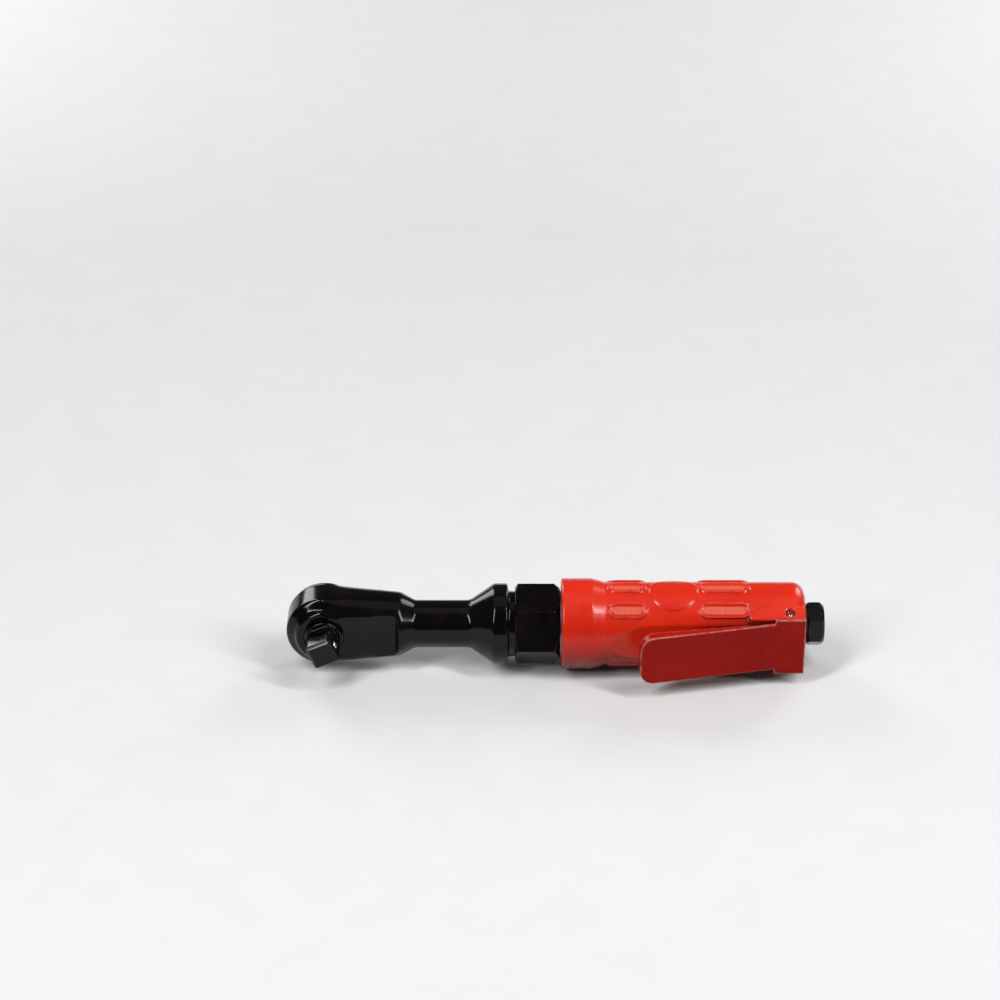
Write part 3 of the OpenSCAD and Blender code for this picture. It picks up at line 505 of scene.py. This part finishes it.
def pad_points(mid, length, angle, rows, columns):
    """Points of one inlay: its domed top, then its flat root inside the sleeve."""
    a = math.radians(angle)
    out = Vector((0.0, -math.cos(a), math.sin(a)))
    side = Vector((0.0, math.sin(a), math.cos(a)))
    centre = Vector((mid, AXIS_Y, 0.0))
    points = []
    for layer in ("top", "root"):
        for j in range(rows + 1):
            v = PAD_W * (j / rows - 0.5) * PAD_FIT
            reach = (length - PAD_W) / 2 + math.sqrt((PAD_W / 2) ** 2 - v * v)
            for i in range(columns + 1):
                u = reach * (2 * i / columns - 1)
                rim = i in (0, columns) or j in (0, rows)
                top = PAD_FLOOR if rim else PAD_FLOOR + dome(u, v)
                level = top if layer == "top" else PAD_ROOT
                points.append(centre + Vector((u, 0.0, 0.0)) + v * side + level * out)
    return points


def pad_faces(first, rows, columns):
    """Faces of one inlay, whose points start at first."""
    wide = columns + 1
    under = wide * (rows + 1)
    faces = []
    for j in range(rows):
        for i in range(columns):
            q = first + j * wide + i
            r = q + under
            faces.append((q, q + 1, q + wide + 1, q + wide))
            faces.append((r, r + wide, r + wide + 1, r + 1))
    ring = [first + i for i in range(columns)]
    ring += [first + columns + j * wide for j in range(rows)]
    ring += [first + rows * wide + i for i in range(columns, 0, -1)]
    ring += [first + j * wide for j in range(rows, 0, -1)]
    for k, q in enumerate(ring):
        after = ring[(k + 1) % len(ring)]
        faces.append((after, q, q + under, after + under))
    return faces


def build_grip_pads():
    """Textured inlays in the sleeve's pads, each a rounded slot of fine domes."""
    rows = round(PAD_W / PAD_STEP)
    verts = []
    faces = []
    for mid, length in PAD_LENGTHS.items():
        columns = round(length / PAD_STEP)
        for angle in PAD_ANGLES:
            faces += pad_faces(len(verts), rows, columns)
            verts += pad_points(mid, length, angle, rows, columns)
    add_piece("grip_pads", verts, faces, grip_texture())


def build_inlet_thread():
    """Helical ridge of the hose thread inside the inlet's bore."""
    bore_r = 5.7 * MM
    pitch = 1.41 * MM
    ridge = 0.6 * MM
    lead_in = 0.9 * MM
    foot = 0.46
    crest = 0.08
    sunk = -0.08
    turns = 8
    around = 40
    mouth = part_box("inlet_bushing")[1].x - lead_in
    total = turns * around
    verts = []
    faces = []
    for i in range(total + 1):
        a = TURN * i / around
        fade = min(1.0, i / around, (total - i) / around)
        x = mouth - pitch * i / around
        for along, deep in ((foot, sunk), (crest, fade), (-crest, fade), (-foot, sunk)):
            r = bore_r - ridge * deep
            verts.append((x + along * pitch, AXIS_Y + r * math.cos(a), r * math.sin(a)))
    for i in range(total):
        p = 4 * i
        for j in range(4):
            k = (j + 1) % 4
            faces.append((p + 4 + j, p + 4 + k, p + k, p + j))
    faces.append((0, 1, 2, 3))
    faces.append(tuple(4 * total + 3 - j for j in range(4)))
    add_piece("inlet_thread", verts, faces, FINISH["black_steel"])


def build_spring(node, body, towards, wire, turns):
    """Round wire wound from the fixed end to the moving end."""
    sides = 10
    around = 28
    fit = 0.98
    coil_gap = 1.05
    most_slack = 0.6
    low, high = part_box(node)
    middle = (low + high) / 2
    half = (high - low) / 2
    along = Vector(towards).normalized()
    if along.y:
        outer = half.x
        length = 2 * half.y * fit
    else:
        outer = half.y
        length = 2 * (half.x - outer * abs(along.z)) / abs(along.x) * fit
    u = along.orthogonal().normalized()
    v = along.cross(u)
    r = outer * fit - wire / 2
    fixed_end = middle - along * length / 2
    total = turns * around
    rise = length - wire
    slack = max(0.0, min(most_slack, 1 - coil_gap * wire * turns / rise))
    verts = []
    faces = []
    for i in range(total + 1):
        t = i / total
        a = TURN * turns * t
        out = u * math.cos(a) + v * math.sin(a)
        level = wire / 2 + rise * (t - slack * math.sin(TURN * t) / TURN)
        for j in range(sides):
            b = TURN * j / sides
            outward = r + wire / 2 * math.cos(b)
            onward = level + wire / 2 * math.sin(b)
            verts.append(fixed_end + out * outward + along * onward)
    for i in range(total):
        p = i * sides
        for j in range(sides):
            k = (j + 1) % sides
            faces.append((p + j, p + sides + j, p + sides + k, p + k))
    faces.append(tuple(range(sides)))
    faces.append(tuple((total + 1) * sides - 1 - j for j in range(sides)))
    made = add_piece(node + "_wire", verts, faces, FINISH["dark_steel"], body)
    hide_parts(node)
    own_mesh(made)


# The ball moves square to a side of the drive, which stands turned by 23 degrees.
VALVE_WAY = (0.0, -1.0, 0.0)
PLUNGER_WAY = (-1.0, 0.0, 0.0)
BALL_WAY = (0.9205, 0.0, 0.39073)

build_grip_pads()
build_inlet_thread()
build_spring("valve_spring", "body", VALVE_WAY, wire=0.7 * MM, turns=6)
build_spring("plunger_spring", "selector", PLUNGER_WAY, wire=0.3 * MM, turns=4)
build_spring("detent_spring", "anvil", BALL_WAY, wire=0.4 * MM, turns=2)


def floor_material():
    """Pale where it is seen, dim in the light that it sends back, and lit up far away."""
    dim = colour(0.12, 0.12, 0.12)
    near_edge = 0.5
    far_edge = 2.2
    far_glow = 0.72
    s = Shader("floor")
    grain = s.noise(scale=40.0, detail=4.0)
    pale = s.mix(grain, colour(0.76, 0.76, 0.765), colour(0.8, 0.8, 0.805))
    path = s.add("ShaderNodeLightPath").outputs
    seen = s.math("MAXIMUM", path["Is Camera Ray"], path["Is Glossy Ray"])
    seen = s.math("MAXIMUM", seen, path["Is Transmission Ray"])
    s.fix(Base_Color=s.mix(seen, dim, pale), Roughness=0.9, Specular_IOR_Level=0.1)
    away = s.add("ShaderNodeVectorMath")
    away.operation = "LENGTH"
    s.feed(away.inputs[0], s.place)
    glow = s.span(away.outputs["Value"], near_edge, far_edge, 0.0, far_glow)
    s.fix(Emission_Color=pale, Emission_Strength=s.product(glow, seen))
    return s.material


def build_stage():
    """Pale floor under the tool and an even studio around it."""
    half = 12.0
    level = cad_low.z
    corners = []
    for x, y in ((-half, -half), (half, -half), (half, half), (-half, half)):
        corners.append((x, y, level))
    mesh = bpy.data.meshes.new("floor")
    mesh.from_pydata(corners, [], [(0, 1, 2, 3)])
    mesh.materials.append(floor_material())
    floor = bpy.data.objects.new("floor", mesh)
    bpy.context.scene.collection.objects.link(floor)

    world = bpy.data.worlds.new("studio")
    bpy.context.scene.world = world
    world.use_nodes = True
    back = world.node_tree.nodes["Background"]
    back.inputs["Color"].default_value = colour(0.95, 0.97, 1.0)
    back.inputs["Strength"].default_value = 0.07


def lamp(name, azimuth, elevation, distance, size, power):
    """Soft box that faces the tool. Azimuth 0 stands at the camera's side and grows to +X."""
    middle_x = 0.11
    middle = Vector((middle_x, AXIS_Y, 0.0))
    a = math.radians(azimuth)
    e = math.radians(elevation)
    away = Vector((math.sin(a) * math.cos(e), -math.cos(a) * math.cos(e), math.sin(e)))
    data = bpy.data.lights.new(name, "AREA")
    data.shape = "RECTANGLE"
    data.size, data.size_y = size
    data.energy = power
    made = bpy.data.objects.new(name, data)
    made.location = middle + distance * away
    made.rotation_mode = "QUATERNION"
    made.rotation_quaternion = (-away).to_track_quat("-Z", "Y")
    bpy.context.scene.collection.objects.link(made)


def build_lights():
    """Two strips in front, two boxes behind and one above."""
    strip = (0.15, 0.9)
    box = (0.4, 0.7)
    above = (1.4, 0.7)
    lamp("left_strip", azimuth=-48.0, elevation=47.0, distance=1.2, size=strip, power=8.5)
    lamp("right_strip", azimuth=60.0, elevation=47.0, distance=1.2, size=strip, power=8.5)
    lamp("back_left", azimuth=-145.0, elevation=26.0, distance=1.3, size=box, power=4.5)
    lamp("back_right", azimuth=142.0, elevation=26.0, distance=1.3, size=box, power=4.5)
    lamp("top_box", azimuth=180.0, elevation=82.0, distance=1.2, size=above, power=0.9)


def build_camera():
    """Looks along +Y from 30 degrees up. The photo is 476 mm wide at the tool."""
    rise = math.radians(30)
    distance = 1.6
    wide = 476 * MM
    along_tool = 83.3 * MM
    above_tool = 58.8 * MM
    ahead = Vector((0.0, math.cos(rise), -math.sin(rise)))
    up = Vector((0.0, math.sin(rise), math.cos(rise)))
    target = Vector((along_tool, AXIS_Y, 0.0)) + above_tool * up
    data = bpy.data.cameras.new("camera")
    data.sensor_width = 36.0
    data.lens = data.sensor_width * distance / wide
    made = bpy.data.objects.new("camera", data)
    made.location = target - ahead * distance
    made.rotation_mode = "QUATERNION"
    made.rotation_quaternion = ahead.to_track_quat("-Z", "Y")
    bpy.context.scene.collection.objects.link(made)
    bpy.context.scene.camera = made


build_stage()
build_lights()
build_camera()
bpy.context.scene.view_settings.view_transform = "Standard"
